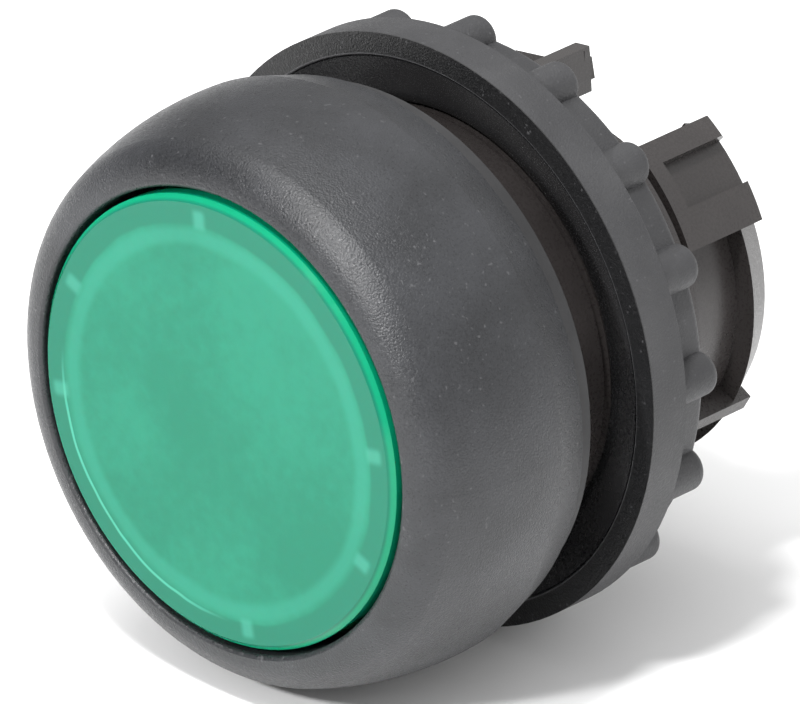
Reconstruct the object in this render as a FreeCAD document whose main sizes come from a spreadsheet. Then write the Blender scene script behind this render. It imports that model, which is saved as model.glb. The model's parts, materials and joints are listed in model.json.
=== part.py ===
import FreeCAD, Part

import math
import os

import Sketcher
from FreeCAD import Placement, Rotation, Vector

# Flush illuminated push-button head for a 22.5 mm panel hole.
#
# Every piece is drawn about one axis. A "station" is a height along that axis, counted forward
# from the rear end of the threaded body. In the finished model the button faces -Y, +Z is up,
# and the origin is on the axis at the front face of the panel that the head is fitted to.

# Small lengths in mm by which a shape runs past or into the one it cuts or joins.
OVERRUN = 1.0
SINK = 0.5
SHALLOW_SINK = 0.3
ROOT_SINK = 0.2
WASHER_TAB_SINK = 0.35
OVERLAP_DEGREES = 1.0
# The tab is this share of the washer's thickness.
WASHER_TAB_SHARE = 0.9
# Length in mm of the slope behind the last thread.
THREAD_RUN_OUT = 0.6

DIMENSIONS = {
    # where things are along the axis
    "panel_station": (16.9, "front face of the panel, rear face of the gasket"),
    "web_rear_station": (18.1, "rear face of the body's web and of the bezel"),
    "web_front_station": (19.7, "floor of the well that the button sinks into"),
    "play": (0.05, "gap between seated pieces"),
    # bezel
    "bezel_rear_radius": (14.15, "bezel at its rear edge"),
    "bezel_band_radius": (14.78, "bezel where the rear band meets the dome"),
    "bezel_band_station": (20.3, "front of the rear band"),
    "dome_side_radius": (16.7, "large arc of the dome's section"),
    "dome_shoulder_radius": (13.82, "distance from the axis where the two dome arcs meet"),
    "dome_shoulder_station": (26.86, "station where the two dome arcs meet"),
    "dome_crown_arc": (2.2, "small arc of the dome's section"),
    "dome_top_station": (28.2, "highest ring of the dome"),
    "dome_top_radius": (11.98, "distance from the axis of the highest ring"),
    "well_radius": (11.73, "opening that the lens sits in"),
    "well_edge_arc": (0.26, "rounding of the opening's edge"),
    "bezel_seat_station": (26.55, "step inside the bezel that sits on the collar"),
    # threaded body
    "collar_radius": (12.9, "outside of the collar that the bezel snaps over"),
    "collar_bore_radius": (11.78, "inside of the collar"),
    "collar_front_station": (26.5, "front of the collar"),
    "neck_radius": (11.15, "smooth neck that fills the panel hole"),
    "neck_rear_station": (13.3, "rear end of the smooth neck"),
    "neck_front_station": (17.0, "front end of the smooth neck, just inside the gasket"),
    "gasket_seat_radius": (10.9, "bottom of the seat that the gasket is stretched over"),
    "thread_root_radius": (10.45, "bottom of the body's thread"),
    "thread_crest_radius": (11.1, "top of the body's thread"),
    "thread_pitch": (1.5, "advance of the thread in one turn"),
    "thread_rear_station": (6.1, "rear end of the threaded length"),
    "thread_root_width": (0.95, "width of the thread at its root"),
    "thread_crest_width": (0.4, "width of the thread at its crest"),
    "thread_gap": (0.12, "clearance between the two threads"),
    "guide_bore_radius": (8.68, "bore that the plunger slides in"),
    "tail_radius": (9.4, "body behind the thread"),
    "rim_radius": (10.5, "front edge of the rear rim"),
    "rim_rear_radius": (9.5, "rear edge of the rear rim"),
    "rim_front_station": (1.9, "front face of the rear rim"),
    "tail_bore_radius": (8.3, "bore behind the inner lip"),
    "lip_radius": (7.9, "inner lip that the spring retainer sits on"),
    "lip_front_station": (4.2, "front face of the inner lip"),
    "lip_rear_station": (2.9, "rear face of the inner lip"),
    "window_start_angle": (56.0, "side of the tail's window next to a latch block"),
    "window_end_angle": (93.4, "side of the tail's window next to the upper fin"),
    "window_front_station": (5.0, "closed end of the tail's window"),
    "window_inner_radius": (7.0, "how near the axis the tail's windows are cut"),
    "rim_gap_angle": (101.5, "end of the gap in the rear rim behind the upper fin"),
    "rim_step_angle": (119.0, "end of the stretch where the rim is cut back to the tail"),
    "latch_radius": (10.65, "outside of the latch blocks and fins"),
    "latch_start_angle": (24.0, "lower side of a latch block"),
    "latch_end_angle": (55.0, "upper side of a latch block"),
    "latch_front_station": (5.7, "front end of a latch block"),
    "latch_rear_station": (0.1, "rear end of a latch block"),
    "latch_chamfer": (0.4, "bevel at the rear of a latch block"),
    "pocket_start_angle": (34.8, "lower side of a latch block's pocket"),
    "pocket_end_angle": (48.3, "upper side of a latch block's pocket"),
    "pocket_front_station": (4.75, "closed end of a latch block's pocket"),
    "pocket_floor_radius": (9.85, "floor of a latch block's pocket"),
    "fin_thickness": (0.9, "thickness of a fin"),
    "upper_fin_angle": (96.0, "direction of the upper fin"),
    "upper_fin_rear_station": (1.5, "rear tip of the upper fin"),
    "lower_fin_angle": (-31.0, "direction of the lower fin"),
    "lower_fin_rear_station": (0.8, "rear tip of the lower fin"),
    "fin_front_station": (5.7, "front end of the fins"),
    "keyway_width": (3.4, "groove in the thread for the thrust washer's tab"),
    "keyway_radius": (10.0, "floor of the keyway"),
    "keyway_front_station": (14.9, "front end of the keyway, in the neck"),
    "guide_groove_width": (2.6, "groove in the bore for a plunger rib"),
    "guide_groove_radius": (9.45, "bottom of a guide groove"),
    "guide_groove_rear_station": (9.0, "rear end of a guide groove"),
    # lens, diffuser and plunger
    "lens_radius": (11.43, "outside of the lens cap"),
    "lens_front_station": (28.4, "front face of the lens cap"),
    "lens_face_thickness": (1.2, "thickness of the lens face"),
    "lens_skirt_radius": (10.2, "inside of the lens skirt"),
    "lens_rear_station": (25.8, "rear edge of the lens skirt"),
    "lens_bevel": (0.3, "bevel round the lens face"),
    "diffuser_radius": (9.1, "outside of the diffuser disc"),
    "diffuser_tab_radius": (10.1, "outside of the diffuser's tabs"),
    "diffuser_tab_width": (1.6, "width of a diffuser tab"),
    "diffuser_thickness": (0.85, "thickness of the diffuser"),
    "tab_count": (6, "tabs round the diffuser"),
    "plunger_rim_radius": (9.3, "inside of the rim that holds the diffuser"),
    "flange_radius": (10.15, "outside of the plunger's flange"),
    "flange_rear_station": (24.9, "rear face of the plunger's flange"),
    "flange_front_station": (26.1, "seat of the diffuser on the flange"),
    "tube_radius": (8.6, "outside of the plunger's guide tube"),
    "tube_bore_radius": (7.4, "inside of the guide tube"),
    "shoulder_station": (14.0, "shoulder that the spring pushes on"),
    "shoulder_thickness": (1.6, "thickness of the shoulder"),
    "stem_radius": (6.7, "outside of the plunger's rear stem"),
    "stem_bore_radius": (5.9, "inside of the rear stem"),
    "stem_rear_station": (3.25, "rear end of the stem"),
    "rib_width": (2.4, "width of a guide rib on the plunger"),
    "rib_radius": (9.35, "outside of a guide rib"),
    "rib_rear_station": (14.4, "rear end of a guide rib"),
    "rib_front_station": (19.6, "front end of a guide rib"),
    "foot_radius": (7.4, "outside of the actuating ring"),
    "foot_bore_radius": (6.75, "inside of the actuating ring's sleeve"),
    "foot_front_station": (4.15, "front end of the actuating ring"),
    "foot_rear_station": (2.6, "rear face of the actuating ring"),
    # seals and spring
    "gasket_radius": (13.55, "outside of the panel gasket"),
    "gasket_bore_radius": (11.2, "inside of the panel gasket"),
    "membrane_radius": (11.7, "outside of the sealing membrane's bead"),
    "membrane_bead_radius": (9.75, "inside of the outer bead"),
    "membrane_bead_height": (0.55, "thickness of the outer bead"),
    "membrane_wall": (0.6, "thickness of the membrane's cone"),
    "membrane_neck_radius": (8.66, "inside of the membrane's front bead"),
    "membrane_neck_height": (0.7, "height of the front bead"),
    "clamp_radius": (11.73, "outside of the clamp ring"),
    "clamp_bore_radius": (10.4, "inside of the clamp ring"),
    "clamp_height": (0.95, "thickness of the clamp ring"),
    "retainer_radius": (8.6, "outside of the spring retainer"),
    "retainer_bore_radius": (6.85, "inside of the spring retainer"),
    "retainer_height": (1.25, "thickness of the spring retainer"),
    "spring_radius": (7.65, "middle line of the spring's coil"),
    "wire_radius": (0.3, "half the spring wire's thickness"),
    "spring_turns": (5, "turns of the spring"),
    # locking ring and thrust washer
    "ring_front_station": (14.1, "front face of the locking ring"),
    "ring_flange_rear_station": (11.6, "rear face of the ring's flange"),
    "ring_rear_station": (9.1, "rear face of the locking ring"),
    "ring_flange_radius": (15.05, "outside of the ring's flange"),
    "ring_hub_radius": (13.87, "ring between its grip knobs"),
    "ring_edge_bevel": (0.2, "bevel at the ring's edges"),
    "ring_recess_radius": (13.86, "recess in the ring's front face"),
    "ring_thread_radius": (10.75, "crest of the ring's thread"),
    "ring_thread_front_station": (11.4, "front end of the ring's thread"),
    "ring_relief_radius": (11.3, "bore in front of the ring's thread, which passes over the neck"),
    "knob_count": (16, "grip knobs round the ring"),
    "knob_radius": (1.12, "rounding of a grip knob"),
    "knob_circle_radius": (13.76, "circle that the knobs' centres lie on"),
    "knob_angle": (2.5, "direction of the first knob"),
    "knob_rounding": (0.5, "rounding of the ring's rear edge"),
    "washer_rim_thickness": (0.7, "thickness of the dished thrust washer"),
    "washer_bore_radius": (11.25, "inside of the thrust washer"),
    "washer_dish_depth": (1.15, "how far the washer's middle sits back"),
    "washer_tab_width": (3.1, "width of the washer's tab"),
    "washer_tab_radius": (10.15, "inner end of the washer's tab"),
}

doc = FreeCAD.newDocument("push_button_head")
sheet = doc.addObject("Spreadsheet::Sheet", "Dims")
for row, (alias, (value, meaning)) in enumerate(DIMENSIONS.items(), start=1):
    sheet.set(f"A{row}", meaning)
    sheet.set(f"B{row}", str(value))
    sheet.setAlias(f"B{row}", alias)
doc.recompute()


class Size:
    """A number together with the spreadsheet expression that it comes from."""

    def __init__(self, value, text=None):
        self.value = value
        self.text = str(value) if text is None else text

    def combine(self, other, sign, value):
        return Size(value, f"({self.text} {sign} {other.text})")

    def __add__(self, other):
        other = as_size(other)
        return self.combine(other, "+", self.value + other.value)

    def __sub__(self, other):
        other = as_size(other)
        return self.combine(other, "-", self.value - other.value)

    def __mul__(self, other):
        other = as_size(other)
        return self.combine(other, "*", self.value * other.value)

    def __truediv__(self, other):
        other = as_size(other)
        return self.combine(other, "/", self.value / other.value)


def as_size(number):
    return number if isinstance(number, Size) else Size(number)


def dim(alias):
    """A driving dimension from the sheet."""
    return Size(float(sheet.get(alias)), f"Dims.{alias}")


def polar(radius, angle):
    """The point at a distance and a direction from the axis."""
    radius, angle = as_size(radius), as_size(angle)
    turn = math.radians(angle.value)
    return (
        Size(radius.value * math.cos(turn), f"({radius.text} * cos({angle.text}))"),
        Size(radius.value * math.sin(turn), f"({radius.text} * sin({angle.text}))"),
    )


def new_body(name):
    """A body whose drawing axis runs forward along the button's axis."""
    body = doc.addObject("PartDesign::Body", name)
    body.Label = name
    body.Placement = Placement(Vector(0, dim("panel_station").value, 0), Rotation(Vector(1, 0, 0), 90))
    body.setExpression("Placement.Base.y", "Dims.panel_station")
    return body


def new_sketch(body, name, plane_role, offset=None):
    sketch = body.newObject("Sketcher::SketchObject", name)
    plane = next(item for item in body.Origin.OriginFeatures if item.Role == plane_role)
    sketch.AttachmentSupport = [(plane, "")]
    sketch.MapMode = "FlatFace"
    if offset is not None:
        sketch.AttachmentOffset = Placement(Vector(0, 0, offset.value), Rotation())
        sketch.setExpression("AttachmentOffset.Base.z", offset.text)
    return sketch


def bind(sketch, constraint, size):
    index = sketch.addConstraint(constraint)
    sketch.setExpression(f"Constraints[{index}]", size.text)


def arc_between(start, end, radius, clockwise):
    """The short arc of the given radius from start to end, and whether its ends are swapped."""
    chord = end - start
    middle = (start + end) * 0.5
    rise = math.sqrt(max(radius * radius - (chord.Length / 2) ** 2, 0.0))
    side = Vector(-chord.y, chord.x, 0).normalize() * (-rise if clockwise else rise)
    centre = middle + side
    first, last = (end, start) if clockwise else (start, end)
    angles = [math.atan2(point.y - centre.y, point.x - centre.x) for point in (first, last)]
    if angles[1] < angles[0]:
        angles[1] += 2 * math.pi
    return Part.ArcOfCircle(Part.Circle(centre, Vector(0, 0, 1), radius), angles[0], angles[1])


def draw_outline(sketch, corners):
    """A closed outline. A corner is (x, y) where a line follows, or (x, y, radius, turn) where an
    arc follows, with turn "left" or "right" as seen walking along the outline."""
    points = [Vector(as_size(corner[0]).value, as_size(corner[1]).value, 0) for corner in corners]
    ends = []
    for number, corner in enumerate(corners):
        start, end = points[number], points[(number + 1) % len(points)]
        if len(corner) == 2:
            sketch.addGeometry(Part.LineSegment(start, end), False)
            ends.append((1, 2))
        else:
            clockwise = corner[3] == "right"
            sketch.addGeometry(arc_between(start, end, as_size(corner[2]).value, clockwise), False)
            ends.append((2, 1) if clockwise else (1, 2))
    for number, (first, last) in enumerate(ends):
        following = (number + 1) % len(ends)
        sketch.addConstraint(
            Sketcher.Constraint("Coincident", number, last, following, ends[following][0])
        )
    for number, corner in enumerate(corners):
        spot = ends[number][0]
        for direction, coordinate in zip(("DistanceX", "DistanceY"), corner[:2]):
            coordinate = as_size(coordinate)
            constraint = Sketcher.Constraint(direction, -1, 1, number, spot, coordinate.value)
            bind(sketch, constraint, coordinate)
        if len(corner) > 2:
            radius = as_size(corner[2])
            bind(sketch, Sketcher.Constraint("Radius", number, radius.value), radius)


def turned(body, name, corners, kind="Revolution"):
    """Turn an outline of (radius, station) corners about the axis, as material or as a cut."""
    sketch = new_sketch(body, name + "_outline", "XZ_Plane")
    draw_outline(sketch, corners)
    feature = body.newObject("PartDesign::" + kind, name)
    feature.Profile = sketch
    feature.ReferenceAxis = (sketch, ["V_Axis"])
    feature.Angle = 360
    doc.recompute()
    return feature


def extruded(body, name, outlines, rear, front, kind="Pad"):
    """Extend outlines drawn across the axis from one station forward to another."""
    sketch = new_sketch(body, name + "_outline", "XY_Plane", rear)
    for outline in outlines:
        outline(sketch)
    feature = body.newObject("PartDesign::" + kind, name)
    feature.Profile = sketch
    feature.Type = 0
    feature.Reversed = kind == "Pocket"
    length = front - rear
    feature.Length = length.value
    feature.setExpression("Length", length.text)
    doc.recompute()
    return feature


def pattern_round(body, name, features, count):
    """Repeat features evenly round the axis."""
    pattern = body.newObject("PartDesign::PolarPattern", name)
    pattern.Originals = features
    pattern.Axis = (features[0].Profile[0], ["N_Axis"])
    pattern.Angle = 360
    pattern.Occurrences = int(count.value)
    pattern.setExpression("Occurrences", count.text)
    body.Tip = pattern
    doc.recompute()
    return pattern


def sector(inner, outer, start, end):
    """An outline between two radii and two directions."""

    def draw(sketch):
        corners = [
            (*polar(inner, start),),
            (*polar(outer, start), outer, "left"),
            (*polar(outer, end),),
            (*polar(inner, end), inner, "right"),
        ]
        draw_outline(sketch, corners)

    return draw


def radial_bar(inner, outer, angle, width):
    """A rectangular outline that points away from the axis."""

    def draw(sketch):
        along = polar(1.0, angle)
        half = width / 2

        def corner(reach, side):
            return (
                reach * along[0] - half * side * along[1],
                reach * along[1] + half * side * along[0],
            )

        draw_outline(sketch, [corner(inner, -1), corner(outer, -1), corner(outer, 1), corner(inner, 1)])

    return draw


def round_outline(distance, angle, radius):
    """A circle at a distance and a direction from the axis."""

    def draw(sketch):
        centre = polar(distance, angle)
        spot = Vector(centre[0].value, centre[1].value, 0)
        sketch.addGeometry(Part.Circle(spot, Vector(0, 0, 1), radius.value), False)
        bind(sketch, Sketcher.Constraint("DistanceX", -1, 1, 0, 3, centre[0].value), centre[0])
        bind(sketch, Sketcher.Constraint("DistanceY", -1, 1, 0, 3, centre[1].value), centre[1])
        bind(sketch, Sketcher.Constraint("Radius", 0, radius.value), radius)

    return draw


def helical(body, name, draw, pitch, height, kind="AdditiveHelix"):
    """Carry a section once drawn beside the axis along a right-hand helix."""
    sketch = new_sketch(body, name + "_section", "XZ_Plane")
    draw(sketch)
    feature = body.newObject("PartDesign::" + kind, name)
    feature.Profile = sketch
    feature.ReferenceAxis = (sketch, ["V_Axis"])
    feature.Mode = 0
    for quantity, size in (("Pitch", pitch), ("Height", height)):
        setattr(feature, quantity, size.value)
        feature.setExpression(quantity, size.text)
    doc.recompute()
    return feature


play = dim("play")
axis_line = Size(0.0)
panel = dim("panel_station")
web_rear = dim("web_rear_station")
web_front = dim("web_front_station")


def make_bezel_ring():
    body = new_body("bezel_ring")
    seat_radius = dim("collar_radius") + play
    turned(body, "bezel_section", [
        (seat_radius, web_rear),
        (dim("bezel_rear_radius"), web_rear),
        (dim("bezel_band_radius"), dim("bezel_band_station"), dim("dome_side_radius"), "left"),
        (dim("dome_shoulder_radius"), dim("dome_shoulder_station"), dim("dome_crown_arc"), "left"),
        (dim("dome_top_radius"), dim("dome_top_station"), dim("well_edge_arc"), "left"),
        (dim("well_radius"), dim("dome_top_station") - dim("well_edge_arc")),
        (dim("well_radius"), dim("bezel_seat_station")),
        (seat_radius, dim("bezel_seat_station")),
    ])
    return body


def make_lens_cap():
    body = new_body("lens_cap")
    front, bevel = dim("lens_front_station"), dim("lens_bevel")
    face_rear = front - dim("lens_face_thickness")
    turned(body, "lens_section", [
        (axis_line, face_rear),
        (dim("lens_skirt_radius"), face_rear),
        (dim("lens_skirt_radius"), dim("lens_rear_station")),
        (dim("lens_radius"), dim("lens_rear_station")),
        (dim("lens_radius"), front - bevel),
        (dim("lens_radius") - bevel, front),
        (axis_line, front),
    ])
    return body


def make_light_diffuser():
    body = new_body("light_diffuser")
    rear = dim("flange_front_station") + play
    front = rear + dim("diffuser_thickness")
    turned(body, "diffuser_disc", [
        (axis_line, rear),
        (dim("diffuser_radius"), rear),
        (dim("diffuser_radius"), front),
        (axis_line, front),
    ])
    tab = radial_bar(dim("diffuser_radius") - OVERRUN, dim("diffuser_tab_radius"), 0.0, dim("diffuser_tab_width"))
    first_tab = extruded(body, "diffuser_tab", [tab], rear, front)
    pattern_round(body, "diffuser_tabs", [first_tab], dim("tab_count"))
    return body


def make_plunger():
    body = new_body("plunger")
    shoulder_front = dim("shoulder_station") + dim("shoulder_thickness")
    rim_front = dim("flange_front_station") + dim("diffuser_thickness")
    turned(body, "plunger_section", [
        (dim("stem_bore_radius"), dim("stem_rear_station")),
        (dim("stem_radius"), dim("stem_rear_station")),
        (dim("stem_radius"), dim("shoulder_station")),
        (dim("tube_radius"), dim("shoulder_station")),
        (dim("tube_radius"), dim("flange_rear_station")),
        (dim("flange_radius"), dim("flange_rear_station")),
        (dim("flange_radius"), rim_front),
        (dim("plunger_rim_radius"), rim_front),
        (dim("plunger_rim_radius"), dim("flange_front_station")),
        (dim("tube_bore_radius"), dim("flange_front_station")),
        (dim("tube_bore_radius"), shoulder_front),
        (dim("stem_bore_radius"), shoulder_front),
    ])
    rib = radial_bar(dim("tube_radius") - SINK, dim("rib_radius"), 90.0, dim("rib_width"))
    first_rib = extruded(body, "guide_rib", [rib], dim("rib_rear_station"), dim("rib_front_station"))
    pattern_round(body, "guide_ribs", [first_rib], Size(2))
    notch_width = dim("diffuser_tab_width") + play * 4
    notch = radial_bar(dim("plunger_rim_radius") - SINK, dim("flange_radius") + SINK, 0.0, notch_width)
    first_notch = extruded(body, "tab_notch", [notch], dim("flange_front_station"), rim_front + OVERRUN, "Pocket")
    pattern_round(body, "tab_notches", [first_notch], dim("tab_count"))
    return body


def make_actuating_ring():
    body = new_body("actuating_ring")
    sleeve_rear = dim("stem_rear_station") - play
    turned(body, "foot_section", [
        (dim("stem_bore_radius"), dim("foot_rear_station")),
        (dim("foot_radius"), dim("foot_rear_station")),
        (dim("foot_radius"), dim("foot_front_station")),
        (dim("foot_bore_radius"), dim("foot_front_station")),
        (dim("foot_bore_radius"), sleeve_rear),
        (dim("stem_bore_radius"), sleeve_rear),
    ])
    return body


def make_spring_retainer():
    body = new_body("spring_retainer")
    rear = dim("lip_front_station") + play
    front = rear + dim("retainer_height")
    turned(body, "retainer_section", [
        (dim("retainer_bore_radius"), rear),
        (dim("retainer_radius"), rear),
        (dim("retainer_radius"), front),
        (dim("retainer_bore_radius"), front),
    ])
    return body


def make_return_spring():
    body = new_body("return_spring")
    rear_seat = dim("lip_front_station") + play + dim("retainer_height")
    lift = dim("wire_radius") + play
    rear = rear_seat + lift
    height = dim("shoulder_station") - lift - rear

    def wire(sketch):
        spot = Vector(dim("spring_radius").value, rear.value, 0)
        sketch.addGeometry(Part.Circle(spot, Vector(0, 0, 1), dim("wire_radius").value), False)
        radius, thickness = dim("spring_radius"), dim("wire_radius")
        bind(sketch, Sketcher.Constraint("DistanceX", -1, 1, 0, 3, radius.value), radius)
        bind(sketch, Sketcher.Constraint("DistanceY", -1, 1, 0, 3, rear.value), rear)
        bind(sketch, Sketcher.Constraint("Radius", 0, thickness.value), thickness)

    helical(body, "coil", wire, height / dim("spring_turns"), height)
    return body


def make_diaphragm_seal():
    body = new_body("diaphragm_seal")
    base = web_front + play
    bead_top = base + dim("membrane_bead_height")
    neck_top = dim("flange_rear_station") - play
    neck_base = neck_top - dim("membrane_neck_height")
    cone_foot = dim("membrane_bead_radius")
    neck = dim("membrane_neck_radius")
    wall = dim("membrane_wall")
    turned(body, "membrane_section", [
        (cone_foot, base),
        (dim("membrane_radius"), base),
        (dim("membrane_radius"), bead_top),
        (cone_foot + wall, bead_top),
        (neck + wall, neck_base),
        (neck + wall, neck_top),
        (neck, neck_top),
        (neck, neck_base),
        (cone_foot, bead_top),
    ])
    return body


def make_seal_clamp():
    body = new_body("seal_clamp")
    rear = web_front + play * 2 + dim("membrane_bead_height")
    front = rear + dim("clamp_height")
    turned(body, "clamp_section", [
        (dim("clamp_bore_radius"), rear),
        (dim("clamp_radius"), rear),
        (dim("clamp_radius"), front),
        (dim("clamp_bore_radius"), front),
    ])
    return body


def make_panel_gasket():
    body = new_body("panel_gasket")
    turned(body, "gasket_section", [
        (dim("gasket_bore_radius"), panel),
        (dim("gasket_radius"), panel),
        (dim("gasket_radius"), web_rear),
        (dim("gasket_bore_radius"), web_rear),
    ])
    return body


def thread_section(root, crest, root_width, crest_width, middle):
    """A thread's section, wider at its root than at its crest."""

    def draw(sketch):
        draw_outline(sketch, [
            (root, middle - root_width / 2),
            (crest, middle - crest_width / 2),
            (crest, middle + crest_width / 2),
            (root, middle + root_width / 2),
        ])

    return draw


def make_threaded_body():
    body = new_body("threaded_body")
    turned(body, "body_section", [
        (dim("tail_bore_radius"), axis_line),
        (dim("rim_rear_radius"), axis_line),
        (dim("rim_radius"), dim("rim_front_station")),
        (dim("tail_radius"), dim("rim_front_station")),
        (dim("tail_radius"), dim("thread_rear_station") - THREAD_RUN_OUT),
        (dim("thread_root_radius"), dim("thread_rear_station")),
        (dim("thread_root_radius"), dim("neck_rear_station")),
        (dim("neck_radius"), dim("neck_rear_station")),
        (dim("neck_radius"), dim("neck_front_station")),
        (dim("gasket_seat_radius"), dim("neck_front_station")),
        (dim("gasket_seat_radius"), web_rear),
        (dim("collar_radius"), web_rear),
        (dim("collar_radius"), dim("collar_front_station")),
        (dim("collar_bore_radius"), dim("collar_front_station")),
        (dim("collar_bore_radius"), web_front),
        (dim("guide_bore_radius"), web_front),
        (dim("guide_bore_radius"), dim("lip_front_station")),
        (dim("lip_radius"), dim("lip_front_station")),
        (dim("lip_radius"), dim("lip_rear_station")),
        (dim("tail_bore_radius"), dim("lip_rear_station")),
    ])
    sunk_root = dim("thread_root_radius") - ROOT_SINK
    first_turn = dim("thread_rear_station") + dim("thread_root_width") / 2
    ridge = thread_section(
        sunk_root, dim("thread_crest_radius"), dim("thread_root_width"), dim("thread_crest_width"), first_turn
    )
    ridge_height = dim("neck_rear_station") - first_turn + ROOT_SINK
    helical(body, "thread", ridge, dim("thread_pitch"), ridge_height)

    block = sector(
        dim("guide_bore_radius") + SHALLOW_SINK, dim("latch_radius"), dim("latch_start_angle"), dim("latch_end_angle")
    )
    blocks = extruded(body, "latch_block", [block], dim("latch_rear_station"), dim("latch_front_station"))
    pattern_round(body, "latch_blocks", [blocks], Size(2))
    hollow = sector(
        dim("pocket_floor_radius"), dim("latch_radius") + OVERRUN, dim("pocket_start_angle"), dim("pocket_end_angle")
    )
    pocket = extruded(
        body, "latch_pocket", [hollow], dim("latch_rear_station") - OVERRUN, dim("pocket_front_station"), "Pocket"
    )
    pattern_round(body, "latch_pockets", [pocket], Size(2))
    turned(body, "latch_bevel", [
        (dim("latch_radius") - dim("latch_chamfer"), dim("latch_rear_station") - SINK),
        (dim("latch_radius") + OVERRUN, dim("latch_rear_station") - SINK),
        (dim("latch_radius") + OVERRUN, dim("latch_rear_station") + dim("latch_chamfer")),
        (dim("latch_radius"), dim("latch_rear_station") + dim("latch_chamfer")),
        (dim("latch_radius") - dim("latch_chamfer"), dim("latch_rear_station")),
    ], "Groove")

    behind = axis_line - OVERRUN
    reach = dim("latch_radius") + OVERRUN
    opening = sector(
        dim("window_inner_radius"), reach, dim("window_start_angle"), dim("window_end_angle")
    )
    window = extruded(body, "tail_window", [opening], behind, dim("window_front_station"), "Pocket")
    pattern_round(body, "tail_windows", [window], Size(2))
    gap_outline = sector(
        dim("window_inner_radius"), reach, dim("window_end_angle") - OVERLAP_DEGREES, dim("rim_gap_angle")
    )
    gap = extruded(body, "rim_gap", [gap_outline], behind, dim("upper_fin_rear_station"), "Pocket")
    pattern_round(body, "rim_gaps", [gap], Size(2))
    step_outline = sector(dim("tail_radius"), reach, dim("rim_gap_angle") - OVERLAP_DEGREES, dim("rim_step_angle"))
    step = extruded(body, "rim_step", [step_outline], behind, dim("rim_front_station"), "Pocket")
    pattern_round(body, "rim_steps", [step], Size(2))

    for name in ("upper_fin", "lower_fin"):
        blade = radial_bar(
            dim("tail_radius") - SHALLOW_SINK, dim("latch_radius"), dim(name + "_angle"), dim("fin_thickness")
        )
        fin = extruded(body, name, [blade], dim(name + "_rear_station"), dim("fin_front_station"))
        pattern_round(body, name + "s", [fin], Size(2))

    keyway = radial_bar(dim("keyway_radius"), dim("neck_radius") + OVERRUN, 180.0, dim("keyway_width"))
    extruded(body, "keyway", [keyway], axis_line - SINK, dim("keyway_front_station"), "Pocket")

    groove = radial_bar(
        dim("guide_bore_radius") - SINK, dim("guide_groove_radius"), 90.0, dim("guide_groove_width")
    )
    guide = extruded(
        body, "guide_groove", [groove], dim("guide_groove_rear_station"), web_front + SINK, "Pocket"
    )
    pattern_round(body, "guide_grooves", [guide], Size(2))
    return body


def make_thrust_washer():
    body = new_body("thrust_washer")
    front = dim("ring_front_station") - play
    edge = dim("ring_recess_radius") - play
    thickness, depth = dim("washer_rim_thickness"), dim("washer_dish_depth")
    bore = dim("washer_bore_radius")
    turned(body, "washer_section", [
        (bore, front - depth - thickness),
        (edge, front - thickness),
        (edge, front),
        (bore, front - depth),
    ])
    tab = radial_bar(dim("washer_tab_radius"), bore + WASHER_TAB_SINK, 180.0, dim("washer_tab_width"))
    tab_front = front - depth
    extruded(body, "washer_tab", [tab], tab_front - thickness * WASHER_TAB_SHARE, tab_front)
    return body


def round_rear_edge(body, solid, station, clear_of, radius):
    """Round every edge that lies in the plane of a station and outside a distance from the axis."""
    names = []
    for number, edge in enumerate(solid.Shape.Edges, start=1):
        ends = [vertex.Point for vertex in edge.Vertexes]
        level = all(abs(point.z - station.value) < 1e-6 for point in ends)
        outside = all(math.hypot(point.x, point.y) > clear_of.value for point in ends)
        if level and outside:
            names.append(f"Edge{number}")
    rounding = body.newObject("PartDesign::Fillet", "rear_rounding")
    rounding.Base = (solid, names)
    rounding.Radius = radius.value
    rounding.setExpression("Radius", radius.text)
    doc.recompute()
    return rounding


def make_locking_ring():
    body = new_body("locking_ring")
    front, rear = dim("ring_front_station"), dim("ring_rear_station")
    flange_rear = dim("ring_flange_rear_station")
    bevel = dim("ring_edge_bevel")
    recess_floor = front - play * 2 - dim("washer_rim_thickness")
    bore = dim("ring_thread_radius")
    turned(body, "ring_section", [
        (bore, rear),
        (dim("ring_hub_radius"), rear),
        (dim("ring_hub_radius"), flange_rear),
        (dim("ring_flange_radius") - bevel, flange_rear),
        (dim("ring_flange_radius"), flange_rear + bevel),
        (dim("ring_flange_radius"), front),
        (dim("ring_recess_radius") + bevel / 2, front),
        (dim("ring_recess_radius"), front - bevel / 2),
        (dim("ring_recess_radius"), recess_floor),
        (dim("ring_relief_radius"), recess_floor - dim("washer_dish_depth")),
        (dim("ring_relief_radius"), dim("ring_thread_front_station")),
        (bore, dim("ring_thread_front_station")),
    ])
    knob = round_outline(dim("knob_circle_radius"), dim("knob_angle"), dim("knob_radius"))
    first_knob = extruded(body, "grip_knob", [knob], rear, flange_rear + SHALLOW_SINK)
    knobs = pattern_round(body, "grip_knobs", [first_knob], dim("knob_count"))
    round_rear_edge(body, knobs, rear, dim("ring_recess_radius") - 2, dim("knob_rounding"))

    gap = dim("thread_gap")
    slope = (dim("thread_root_width") - dim("thread_crest_width")) / 2
    slope = slope / (dim("thread_crest_radius") - dim("thread_root_radius") + ROOT_SINK)
    groove_root = dim("ring_thread_radius") - 0.25
    groove_crest = dim("thread_crest_radius") + gap
    sunk_root = dim("thread_root_radius") - ROOT_SINK
    root_width = dim("thread_root_width") - (groove_root - sunk_root) * slope * 2 + gap * 2
    crest_width = dim("thread_root_width") - (groove_crest - sunk_root) * slope * 2 + gap * 2
    first_turn = dim("thread_rear_station") + dim("thread_root_width") / 2
    lead = dim("thread_pitch")
    groove = thread_section(groove_root, groove_crest, root_width, crest_width, first_turn)
    groove_height = front - first_turn + SINK
    helical(body, "ring_thread", groove, lead, groove_height, "SubtractiveHelix")
    return body


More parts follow.
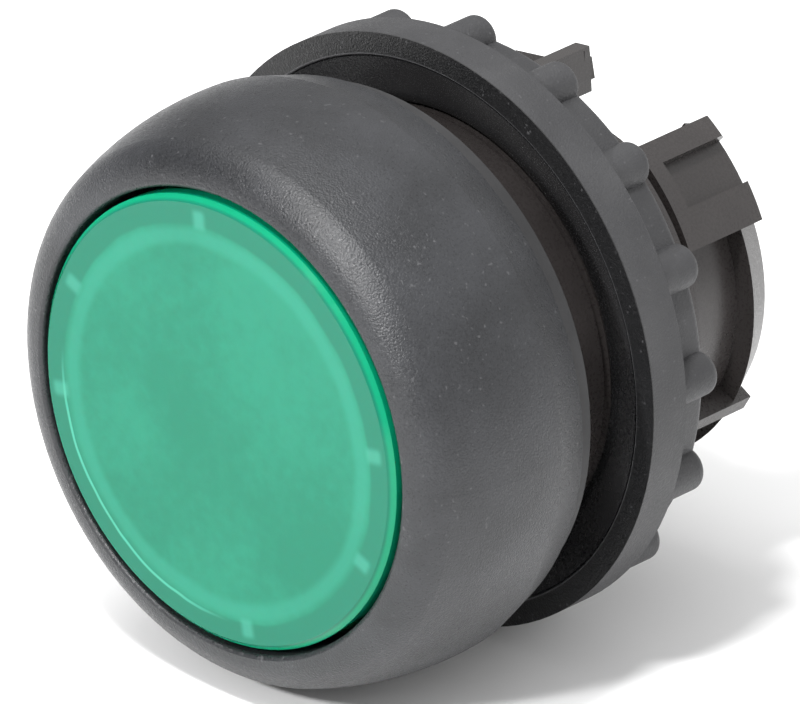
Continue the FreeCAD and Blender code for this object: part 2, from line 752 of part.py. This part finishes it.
makers = [
    make_bezel_ring, make_lens_cap, make_light_diffuser, make_plunger, make_actuating_ring,
    make_spring_retainer, make_return_spring, make_diaphragm_seal, make_seal_clamp,
    make_panel_gasket, make_threaded_body, make_thrust_washer, make_locking_ring,
]
pieces = [make() for make in makers]
doc.recompute()

for item in doc.Objects:
    if "Invalid" in item.State or "Error" in item.State:
        raise RuntimeError(f"{item.Name} did not recompute: {item.State}")
for piece in pieces:
    if piece.Shape.isNull() or not piece.Shape.isValid() or len(piece.Shape.Solids) != 1:
        raise RuntimeError(f"{piece.Label} is not one valid solid")

os.makedirs("parts", exist_ok=True)
for piece in pieces:
    piece.Shape.exportStep(os.path.join("parts", piece.Label + ".step"))
    print(f"{piece.Label}: {piece.Shape.Volume:.1f} mm3")
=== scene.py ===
import json
import math

import bpy
from mathutils import Matrix, Vector


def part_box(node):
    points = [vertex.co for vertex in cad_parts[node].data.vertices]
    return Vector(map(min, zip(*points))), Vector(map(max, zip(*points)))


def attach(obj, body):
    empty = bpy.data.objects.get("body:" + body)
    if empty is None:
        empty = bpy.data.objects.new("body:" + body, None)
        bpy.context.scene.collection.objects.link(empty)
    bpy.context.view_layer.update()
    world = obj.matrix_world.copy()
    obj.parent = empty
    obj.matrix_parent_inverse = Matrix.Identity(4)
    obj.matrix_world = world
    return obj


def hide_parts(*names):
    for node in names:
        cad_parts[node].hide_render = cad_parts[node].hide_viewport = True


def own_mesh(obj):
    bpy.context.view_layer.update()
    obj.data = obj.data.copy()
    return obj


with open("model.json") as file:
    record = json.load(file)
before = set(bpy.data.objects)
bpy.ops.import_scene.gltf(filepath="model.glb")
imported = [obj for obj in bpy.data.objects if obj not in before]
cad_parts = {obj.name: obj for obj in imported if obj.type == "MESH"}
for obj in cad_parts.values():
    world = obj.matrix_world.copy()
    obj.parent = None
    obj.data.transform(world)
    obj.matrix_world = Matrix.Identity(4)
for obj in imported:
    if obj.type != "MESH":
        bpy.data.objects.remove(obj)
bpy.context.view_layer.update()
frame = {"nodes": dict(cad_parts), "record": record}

MM = 0.001
RING_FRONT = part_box("locking_ring")[0].y

# ---------------------------------------------------------------- camera
# A long lens far away, a little above the button and to its right, looking at the neck.
AZIMUTH = math.radians(43.02)
ELEVATION = math.radians(25.26)
CAMERA_DISTANCE = 0.8
SENSOR_MM = 36.0
LENS_MM = 749.6
AIM_RIGHT = -1.038 * MM
AIM_UP = -1.04 * MM

to_camera = Vector((
    math.sin(AZIMUTH) * math.cos(ELEVATION),
    -math.cos(AZIMUTH) * math.cos(ELEVATION),
    math.sin(ELEVATION),
))
camera_right = Vector((math.cos(AZIMUTH), math.sin(AZIMUTH), 0.0))
camera_up = to_camera.cross(camera_right)
aim = Vector((0.0, RING_FRONT, 0.0)) + AIM_RIGHT * camera_right + AIM_UP * camera_up

camera_data = bpy.data.cameras.new("camera")
camera_data.lens = LENS_MM
camera_data.sensor_width = SENSOR_MM
camera_data.clip_start = 0.01
camera = bpy.data.objects.new("camera", camera_data)
turn = Matrix((camera_right, camera_up, to_camera)).transposed().to_4x4()
camera.matrix_world = Matrix.Translation(aim + CAMERA_DISTANCE * to_camera) @ turn
bpy.context.scene.collection.objects.link(camera)
bpy.context.scene.camera = camera


# ---------------------------------------------------------------- node helpers
class Nodes:
    """A material's node tree with short calls for the nodes used here."""

    def __init__(self, name):
        self.material = bpy.data.materials.new(name)
        self.material.use_nodes = True
        self.tree = self.material.node_tree
        self.shader = self.tree.nodes["Principled BSDF"]
        self.output = self.tree.nodes["Material Output"]
        self.place = self.add("ShaderNodeTexCoord").outputs["Object"]

    def add(self, kind, inputs=None, **settings):
        node = self.tree.nodes.new(kind)
        for key, value in settings.items():
            setattr(node, key, value)
        for key, value in (inputs or {}).items():
            self.feed(node.inputs[key], value)
        return node

    def feed(self, socket, value):
        if isinstance(value, bpy.types.NodeSocket):
            self.tree.links.new(value, socket)
        else:
            socket.default_value = value

    def math(self, operation, first, second=0.0):
        return self.add("ShaderNodeMath", {0: first, 1: second}, operation=operation).outputs[0]

    def noise(self, scale, detail=2.0, roughness=0.5, place=None):
        inputs = {"Vector": place or self.place, "Scale": scale, "Detail": detail, "Roughness": roughness}
        return self.add("ShaderNodeTexNoise", inputs).outputs["Fac"]

    def spots(self, scale):
        inputs = {"Vector": self.place, "Scale": scale}
        return self.add("ShaderNodeTexVoronoi", inputs, feature="F1").outputs["Distance"]

    def ramp(self, value, low, high, out_low, out_high):
        inputs = {
            "Value": value, "From Min": low, "From Max": high, "To Min": out_low, "To Max": out_high,
        }
        return self.add("ShaderNodeMapRange", inputs, interpolation_type="SMOOTHSTEP").outputs["Result"]

    def mix(self, factor, first, second):
        node = self.add("ShaderNodeMix", data_type="RGBA")
        self.feed(node.inputs["Factor"], factor)
        self.feed(node.inputs[6], first)
        self.feed(node.inputs[7], second)
        return node.outputs[2]

    def bump(self, height, distance, strength=1.0, normal=None):
        inputs = {"Height": height, "Distance": distance, "Strength": strength}
        if normal is not None:
            inputs["Normal"] = normal
        return self.add("ShaderNodeBump", inputs).outputs["Normal"]

    def radius(self):
        """Distance from the button's axis."""
        parts = self.add("ShaderNodeSeparateXYZ", {0: self.place}).outputs
        across = self.math("MULTIPLY", parts[0], parts[0])
        upward = self.math("MULTIPLY", parts[2], parts[2])
        return self.math("SQRT", self.math("ADD", across, upward))

    def set(self, **values):
        for key, value in values.items():
            self.feed(self.shader.inputs[key.replace("_", " ")], value)


def rgb(red, green, blue):
    return (red, green, blue, 1.0)


def moulded_plastic(name, dark, light, grain_scale, grain_depth, rough_low, rough_high, specular=0.5):
    """Moulded plastic: a fine eroded grain, faint cloudiness in colour, rubbed patches and uneven gloss."""
    nodes = Nodes(name)
    cloud = nodes.noise(170.0, 4.0, 0.6)
    fine = nodes.noise(grain_scale, 4.0, 0.7)
    cells = nodes.spots(grain_scale * 1.3)
    tone = nodes.math("ADD", nodes.math("MULTIPLY", cloud, 0.65), nodes.math("MULTIPLY", fine, 0.35))
    nodes.set(Base_Color=nodes.mix(nodes.ramp(tone, 0.34, 0.66, 0.0, 1.0), rgb(*dark), rgb(*light)))
    rubbed = nodes.ramp(nodes.noise(90.0, 5.0, 0.6), 0.45, 0.75, 0.0, -0.06)
    gloss = nodes.ramp(fine, 0.3, 0.7, rough_low, rough_high)
    nodes.set(Roughness=nodes.math("ADD", gloss, rubbed))
    height = nodes.math("ADD", fine, nodes.math("MULTIPLY", cells, 0.6))
    nodes.set(Normal=nodes.bump(height, grain_depth))
    nodes.shader.inputs["Specular IOR Level"].default_value = specular
    return nodes


def scratched(nodes, scale, depth, direction=(1.0, 12.0, 1.0)):
    """Add long faint scratches over a material's grain."""
    stretch = nodes.add("ShaderNodeMapping", {"Vector": nodes.place, "Scale": direction})
    lines = nodes.noise(scale, 3.0, 0.5, stretch.outputs["Vector"])
    narrow = nodes.ramp(nodes.math("ABSOLUTE", nodes.math("SUBTRACT", lines, 0.5)), 0.0, 0.012, 0.0, 1.0)
    below = nodes.shader.inputs["Normal"].links[0].from_socket
    nodes.set(Normal=nodes.bump(narrow, depth, 0.5, below))


def dusted(nodes, scale, amount, colour):
    """Scatter small pale specks of dust and handling marks over a material's colour."""
    under = nodes.shader.inputs["Base Color"].links[0].from_socket
    specks = nodes.ramp(nodes.noise(scale, 1.0, 0.3), 0.70, 0.80, 0.0, amount)
    fine_specks = nodes.ramp(nodes.noise(scale * 3.1, 2.0, 0.6), 0.64, 0.78, 0.0, amount * 0.6)
    nodes.set(Base_Color=nodes.mix(nodes.math("MAXIMUM", specks, fine_specks), under, rgb(*colour)))


def make_bezel_black():
    nodes = moulded_plastic(
        "bezel_black", (0.012, 0.0125, 0.014), (0.026, 0.027, 0.030), 7000.0, 0.026 * MM, 0.25, 0.46, 0.42
    )
    scratched(nodes, 160.0, 0.004 * MM)
    dusted(nodes, 4300.0, 0.3, (0.14, 0.14, 0.145))
    return nodes.material


def make_ring_black():
    """Grained sides, and a smoother front annulus painted near-black as shade, with a painted highlight
    along its inner lip.
    """
    nodes = moulded_plastic(
        "ring_black", (0.026, 0.026, 0.028), (0.044, 0.044, 0.046), 7000.0, 0.03 * MM, 0.42, 0.62
    )
    sides = nodes.shader.inputs["Base Color"].links[0].from_socket
    gloss = nodes.shader.inputs["Roughness"].links[0].from_socket
    depth = nodes.add("ShaderNodeSeparateXYZ", {0: nodes.place}).outputs[1]
    annulus = nodes.ramp(depth, RING_FRONT + 0.03 * MM, RING_FRONT + 0.08 * MM, 1.0, 0.0)
    lip_highlight = nodes.math("MULTIPLY", annulus, nodes.ramp(nodes.radius(), 13.93 * MM, 14.0 * MM, 1.0, 0.0))
    # painted shade: the front annulus is coloured near-black
    colour = nodes.mix(annulus, sides, rgb(0.007, 0.007, 0.0075))
    # painted highlight: a pale line along the annulus's inner lip
    nodes.set(Base_Color=nodes.mix(lip_highlight, colour, rgb(0.12, 0.12, 0.125)))
    dusted(nodes, 4500.0, 0.25, (0.14, 0.14, 0.145))
    nodes.set(Roughness=nodes.math("SUBTRACT", gloss, nodes.math("MULTIPLY", annulus, 0.12)))
    nodes.shader.inputs["Specular IOR Level"].default_value = 0.4
    return nodes.material


def make_body_black():
    nodes = moulded_plastic(
        "body_black", (0.023, 0.020, 0.0195), (0.034, 0.030, 0.029), 6200.0, 0.0016 * MM, 0.24, 0.36
    )
    scratched(nodes, 220.0, 0.002 * MM, (1.0, 6.0, 1.0))
    return nodes.material


def make_washer_black():
    nodes = moulded_plastic(
        "washer_black", (0.014, 0.014, 0.015), (0.022, 0.022, 0.023), 5200.0, 0.0006 * MM, 0.22, 0.30
    )
    scratched(nodes, 400.0, 0.001 * MM, (1.0, 1.0, 1.0))
    return nodes.material


def make_seal_rubber():
    return moulded_plastic(
        "seal_rubber", (0.014, 0.014, 0.015), (0.026, 0.026, 0.027), 2600.0, 0.01 * MM, 0.55, 0.70
    ).material


def make_spring_steel():
    nodes = moulded_plastic(
        "spring_steel", (0.42, 0.42, 0.41), (0.60, 0.60, 0.58), 2500.0, 0.004 * MM, 0.22, 0.38
    )
    nodes.shader.inputs["Metallic"].default_value = 1.0
    return nodes.material


def make_plunger_plastic():
    nodes = moulded_plastic(
        "plunger_plastic", (0.60, 0.62, 0.58), (0.74, 0.76, 0.72), 2500.0, 0.005 * MM, 0.38, 0.55
    )
    nodes.shader.inputs["Subsurface Weight"].default_value = 0.4
    nodes.shader.inputs["Subsurface Scale"].default_value = 0.001
    return nodes.material


def make_opal_white():
    nodes = moulded_plastic(
        "opal_white", (0.76, 0.78, 0.74), (0.88, 0.90, 0.86), 2500.0, 0.004 * MM, 0.35, 0.50
    )
    nodes.shader.inputs["Subsurface Weight"].default_value = 0.5
    nodes.shader.inputs["Subsurface Scale"].default_value = 0.001
    return nodes.material


def band(nodes, value, middle, half_width, fade):
    """One near the middle value, falling to nothing beyond the half width."""
    away = nodes.math("ABSOLUTE", nodes.math("SUBTRACT", value, middle))
    return nodes.ramp(away, half_width, half_width + fade, 1.0, 0.0)


# measured directions round the axis, in degrees, of the pale marks in the lens's rim
MARK_DIRECTIONS = (96, 155, -172, -79, -24, 9)
# distances from the button's axis of what is seen in the lens
PALE_RING_RADIUS = 9.45 * MM
RIM_INNER_RADIUS = 9.95 * MM
RIM_RADIUS = 10.15 * MM
MARK_RADIUS = 10.35 * MM
SIDE_INNER_RADIUS = 11.15 * MM
SIDE_RADIUS = 11.3 * MM


def make_lens_green():
    """Milky green face: a paler ring inside the skirt, a dark rim, and pale marks across that rim."""
    nodes = Nodes("lens_green")
    away = nodes.radius()
    parts = nodes.add("ShaderNodeSeparateXYZ", {0: nodes.place}).outputs
    cloud = nodes.noise(110.0, 3.0, 0.5)
    fine = nodes.noise(1500.0, 3.0, 0.6)
    tone = nodes.math("ADD", nodes.math("MULTIPLY", cloud, 0.75), nodes.math("MULTIPLY", fine, 0.25))
    milkiness = nodes.ramp(tone, 0.36, 0.64, 0.0, 1.0)
    face = nodes.mix(milkiness, rgb(0.003, 0.150, 0.088), rgb(0.007, 0.185, 0.112))
    wave = nodes.noise(300.0, 2.0)
    ragged = nodes.math("ADD", away, nodes.math("MULTIPLY", nodes.math("SUBTRACT", wave, 0.5), 0.35 * MM))
    pale_ring = nodes.math("MULTIPLY", band(nodes, ragged, PALE_RING_RADIUS, 0.12 * MM, 0.55 * MM), 0.45)
    face = nodes.mix(pale_ring, face, rgb(0.022, 0.250, 0.165))
    rim = nodes.ramp(ragged, RIM_INNER_RADIUS, RIM_RADIUS, 0.0, 1.0)
    face = nodes.mix(rim, face, rgb(0.004, 0.140, 0.085))
    # painted highlight: a bright arc along the rim, on the lower-left side only
    lower = nodes.ramp(nodes.math("ADD", parts[0], parts[2]), -9.0 * MM, -13.0 * MM, 0.0, 1.0)
    lower_left_rim_highlight = nodes.math("MULTIPLY", band(nodes, ragged, RIM_RADIUS, 0.02 * MM, 0.1 * MM), lower)
    face = nodes.mix(nodes.math("MULTIPLY", lower_left_rim_highlight, 0.7), face, rgb(0.070, 0.420, 0.300))
    turn = nodes.math("ARCTAN2", parts[2], parts[0])
    marks = 0.0
    for direction in MARK_DIRECTIONS:
        across = nodes.math("MULTIPLY", nodes.math("SUBTRACT", turn, math.radians(direction)), away)
        marks = nodes.math("MAXIMUM", marks, band(nodes, across, 0.0, 0.12 * MM, 0.45 * MM))
    tick = nodes.math("MULTIPLY", marks, band(nodes, away, MARK_RADIUS, 0.25 * MM, 0.4 * MM))
    face = nodes.mix(nodes.math("MULTIPLY", tick, 0.4), face, rgb(0.060, 0.360, 0.260))
    side = nodes.ramp(away, SIDE_INNER_RADIUS, SIDE_RADIUS, 0.0, 1.0)
    nodes.set(Base_Color=nodes.mix(side, face, rgb(0.001, 0.240, 0.120)))
    nodes.set(Roughness=nodes.ramp(nodes.noise(900.0, 3.0, 0.6), 0.3, 0.7, 0.16, 0.26))
    nodes.set(Normal=nodes.bump(nodes.noise(350.0, 2.0), 0.006 * MM))
    scratched(nodes, 130.0, 0.0015 * MM, (1.0, 1.0, 7.0))
    nodes.shader.inputs["Specular IOR Level"].default_value = 0.2
    nodes.shader.inputs["Transmission Weight"].default_value = 0.06
    nodes.shader.inputs["Subsurface Weight"].default_value = 0.35
    nodes.shader.inputs["Subsurface Scale"].default_value = 0.0012
    nodes.shader.inputs["Coat Weight"].default_value = 0.06
    nodes.shader.inputs["Coat Roughness"].default_value = 0.06
    nodes.shader.inputs["IOR"].default_value = 1.5
    return nodes.material


MATERIALS = {
    "bezel_black": make_bezel_black(),
    "lens_green": make_lens_green(),
    "opal_white": make_opal_white(),
    "plunger_plastic": make_plunger_plastic(),
    "body_black": make_body_black(),
    "ring_black": make_ring_black(),
    "washer_black": make_washer_black(),
    "seal_rubber": make_seal_rubber(),
    "spring_steel": make_spring_steel(),
}
for entry in frame["record"]["subparts"]:
    node = frame["nodes"][entry["node"]]
    for material_slot in node.material_slots:
        material_slot.material = MATERIALS[entry["material_slot"]]


# ---------------------------------------------------------------- soft and springy pieces
def make_piece(name, points, faces, slot_name):
    """A smooth-shaded mesh in one of the frame's material slots."""
    mesh = bpy.data.meshes.new(name)
    mesh.from_pydata(points, [], faces)
    mesh.update()
    for polygon in mesh.polygons:
        polygon.use_smooth = True
    mesh.materials.append(MATERIALS[slot_name])
    piece = bpy.data.objects.new(name, mesh)
    bpy.context.scene.collection.objects.link(piece)
    return piece


def tube_along(path, radius, sides):
    """Points and faces of a closed tube that follows a path of points about the button's axis."""
    points, faces = [], []
    for number, spot in enumerate(path):
        before, after = path[max(number - 1, 0)], path[min(number + 1, len(path) - 1)]
        forward = (after - before).normalized()
        outward = Vector((spot.x, 0.0, spot.z)).normalized()
        upward = forward.cross(outward).normalized()
        outward = upward.cross(forward)
        for side in range(sides):
            turn_by = 2 * math.pi * side / sides
            points.append(spot + radius * (math.cos(turn_by) * outward + math.sin(turn_by) * upward))
    for ring in range(len(path) - 1):
        for side in range(sides):
            following = (side + 1) % sides
            low, high = ring * sides, (ring + 1) * sides
            faces.append((low + side, low + following, high + following, high + side))
    faces.append(tuple(reversed(range(sides))))
    faces.append(tuple(range(len(points) - sides, len(points))))
    return points, faces


SPRING_WIRE_RADIUS = 0.29 * MM
SPRING_COIL_INSET = 0.3 * MM
SPRING_TURNS = 6.0
SPRING_FLAT_TURNS = 0.9
STEPS_PER_TURN = 48
WIRE_SIDES = 14


def make_return_spring():
    """A coil spring whose end turns lie flat, standing on the retainer with its front under the shoulder."""
    low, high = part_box("return_spring")
    wire = SPRING_WIRE_RADIUS
    coil = high.x - SPRING_COIL_INSET
    rear = high.y - wire
    front = low.y + wire
    full_climb = rear - front
    flat_climb = 2 * wire * SPRING_FLAT_TURNS
    open_turns = SPRING_TURNS - 2 * SPRING_FLAT_TURNS
    path = []
    for step in range(int(SPRING_TURNS * STEPS_PER_TURN) + 1):
        along = step / STEPS_PER_TURN
        if along < SPRING_FLAT_TURNS:
            climb = along / SPRING_FLAT_TURNS * flat_climb
        elif along > SPRING_TURNS - SPRING_FLAT_TURNS:
            climb = full_climb - (SPRING_TURNS - along) / SPRING_FLAT_TURNS * flat_climb
        else:
            climb = flat_climb + (full_climb - 2 * flat_climb) * (along - SPRING_FLAT_TURNS) / open_turns
        turn_by = 2 * math.pi * along
        path.append(Vector((coil * math.cos(turn_by), rear - climb, coil * math.sin(turn_by))))
    points, faces = tube_along(path, wire, WIRE_SIDES)
    piece = make_piece("return_spring_wire", points, faces, "spring_steel")
    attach(piece, "housing")
    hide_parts("return_spring")
    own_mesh(piece)


# half of the membrane's section: distance from the axis in mm, and share of the depth from its rear
MEMBRANE_SECTION = [
    (9.76, 0.0), (11.68, 0.0), (11.68, 0.10), (10.36, 0.115), (10.20, 0.20), (10.02, 0.32), (9.86, 0.42),
    (9.70, 0.52), (9.56, 0.62), (9.42, 0.72), (9.32, 0.82), (9.25, 0.88), (9.25, 1.0), (8.67, 1.0),
    (8.67, 0.86), (8.76, 0.78), (8.88, 0.68), (9.02, 0.58), (9.18, 0.48), (9.34, 0.36), (9.50, 0.26),
    (9.64, 0.17), (9.76, 0.08),
]
MEMBRANE_STEPS = 128


def make_membrane():
    """A moulded rubber membrane with a rolled cone between its two beads."""
    low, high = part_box("diaphragm_seal")
    rear, front = high.y, low.y
    depth = rear - front
    points, faces = [], []
    for step in range(MEMBRANE_STEPS):
        turn_by = 2 * math.pi * step / MEMBRANE_STEPS
        for radius, share in MEMBRANE_SECTION:
            reach = radius * MM
            points.append((reach * math.cos(turn_by), rear - share * depth, reach * math.sin(turn_by)))
    count = len(MEMBRANE_SECTION)
    for step in range(MEMBRANE_STEPS):
        following = (step + 1) % MEMBRANE_STEPS
        for corner in range(count):
            after = (corner + 1) % count
            faces.append((
                step * count + corner, following * count + corner,
                following * count + after, step * count + after,
            ))
    piece = make_piece("diaphragm_membrane", points, faces, "seal_rubber")
    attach(piece, "housing")
    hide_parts("diaphragm_seal")
    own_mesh(piece)


make_return_spring()
make_membrane()


# ---------------------------------------------------------------- studio
FLOOR_REACH = 0.6


def make_floor():
    """A plain pale floor that the locking ring stands on."""
    reach = FLOOR_REACH
    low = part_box("locking_ring")[0].z
    mesh = bpy.data.meshes.new("floor")
    corners = [(-reach, -reach, low), (reach, -reach, low), (reach, reach, low), (-reach, reach, low)]
    mesh.from_pydata(corners, [], [(0, 1, 2, 3)])
    floor = bpy.data.objects.new("floor", mesh)
    bpy.context.scene.collection.objects.link(floor)
    nodes = Nodes("floor_pale")
    nodes.set(Base_Color=nodes.mix(nodes.noise(8.0), rgb(0.87, 0.87, 0.87), rgb(0.91, 0.91, 0.91)))
    nodes.set(Roughness=nodes.ramp(nodes.noise(500.0), 0.3, 0.7, 0.85, 0.95))
    mesh.materials.append(nodes.material)


def make_softbox(name, direction, distance, width, height, watts):
    """A rectangular light that faces the button from a direction."""
    data = bpy.data.lights.new(name, "AREA")
    data.shape = "RECTANGLE"
    data.size = width
    data.size_y = height
    data.energy = watts
    light = bpy.data.objects.new(name, data)
    direction = Vector(direction).normalized()
    light.location = direction * distance
    light.rotation_euler = direction.to_track_quat("Z", "Y").to_euler()
    bpy.context.scene.collection.objects.link(light)


def make_world():
    """Studio surround: bright overhead, to the right and behind, dim below, in front and to the left."""
    world = bpy.data.worlds.new("studio")
    world.use_nodes = True
    tree = world.node_tree
    background = tree.nodes["Background"]
    place = tree.nodes.new("ShaderNodeTexCoord")
    along = tree.nodes.new("ShaderNodeVectorMath")
    along.operation = "DOT_PRODUCT"
    along.inputs[1].default_value = Vector((0.45, 0.35, 0.82)).normalized()
    tree.links.new(place.outputs["Generated"], along.inputs[0])
    level = tree.nodes.new("ShaderNodeMapRange")
    level.interpolation_type = "SMOOTHSTEP"
    level.inputs["From Min"].default_value = -0.5
    level.inputs["From Max"].default_value = 0.9
    level.inputs["To Min"].default_value = 0.12
    level.inputs["To Max"].default_value = 1.15
    tree.links.new(along.outputs["Value"], level.inputs["Value"])
    tree.links.new(level.outputs["Result"], background.inputs["Strength"])
    background.inputs["Color"].default_value = rgb(1.0, 1.0, 1.0)
    bpy.context.scene.world = world


make_floor()
make_world()
make_softbox("key_light", (-0.25, -0.15, 1.0), 0.35, 0.16, 0.16, 0.42)
make_softbox("crown_light", (0.04, -0.86, 0.50), 0.30, 0.025, 0.025, 0.80)
make_softbox("upper_light", (0.15, -0.45, 0.90), 0.30, 0.04, 0.03, 0.75)
bpy.context.scene.view_settings.view_transform = "Standard"
